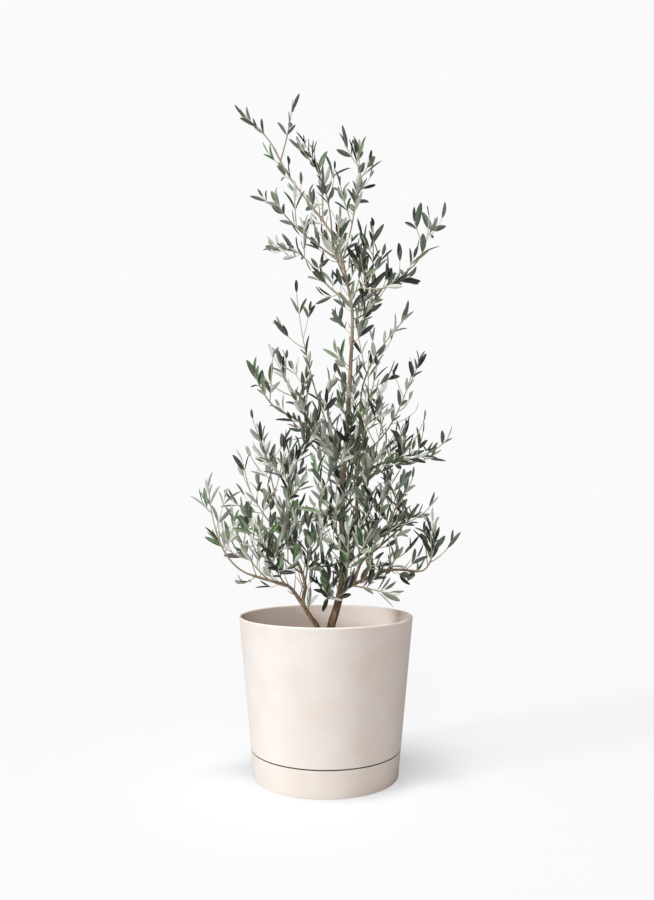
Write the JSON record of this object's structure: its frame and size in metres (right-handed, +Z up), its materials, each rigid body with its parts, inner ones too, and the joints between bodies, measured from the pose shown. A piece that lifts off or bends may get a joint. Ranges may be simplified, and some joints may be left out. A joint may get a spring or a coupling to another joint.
{
  "type": "potted olive tree",
  "caption": "Young potted olive tree with a slender leaning trunk and an open, loosely leaved crown in a plain round planter standing in a matching saucer.",
  "frame": {"origin": "middle of the saucer's flat underside, on the ground", "axes": "+Z up along the planter's axis, +X to the right and +Y away from the viewer in the front view"},
  "size_m": [0.5767, 0.4032, 1.4769],
  "materials": {
    "pot": "smooth matte off-white resin",
    "saucer": "smooth matte off-white resin",
    "soil": "moist potting compost, crumbly and matte",
    "bark": "grey-brown young bark with fine lengthwise relief",
    "foliage": "grey-green leathery leaves with silvery undersides"
  },
  "bodies": {
    "root": {"back_left_foliage": "foliage", "back_middle_foliage": "foliage", "back_right_bough": "bark", "back_right_foliage": "foliage", "far_left_foliage": "foliage", "far_right_foliage": "foliage", "front_foliage": "foliage", "high_back_foliage": "foliage", "high_front_foliage": "foliage", "high_left_bough": "bark", "high_left_foliage": "foliage", "high_middle_foliage": "foliage", "high_right_bough": "bark", "high_right_foliage": "foliage", "high_small_foliage": "foliage", "high_upright_foliage": "foliage", "left_crown_foliage": "foliage", "left_front_foliage": "foliage", "left_middle_bough": "bark", "left_middle_foliage": "foliage", "left_outer_foliage": "foliage", "left_side_foliage": "foliage", "left_spray_foliage": "foliage", "left_stem": "bark", "left_tall_foliage": "foliage", "left_upper_foliage": "foliage", "low_centre_foliage": "foliage", "low_left_bough": "bark", "low_left_foliage": "foliage", "low_middle_foliage": "foliage", "low_right_bough": "bark", "low_right_centre_foliage": "foliage", "low_right_drooping_foliage": "foliage", "low_right_foliage": "foliage", "low_right_inner_foliage": "foliage", "pot": "pot", "right_arm_bough": "bark", "right_arm_foliage": "foliage", "right_back_foliage": "foliage", "right_centre_foliage": "foliage", "right_cluster_foliage": "foliage", "right_diagonal_bough": "bark", "right_edge_foliage": "foliage", "right_front_foliage": "foliage", "right_inner_foliage": "foliage", "right_mid_foliage": "foliage", "right_of_trunk_foliage": "foliage", "right_stem": "bark", "right_tall_foliage": "foliage", "saucer": "saucer", "soil": "soil", "top_left_foliage": "foliage", "top_right_foliage": "foliage", "trunk": "bark", "trunk_shoot_foliage": "foliage", "upper_back_foliage": "foliage", "upper_front_foliage": "foliage", "waist_left_bough": "bark", "waist_left_foliage": "foliage", "waist_right_foliage": "foliage"}
  },
  "joints": []
}
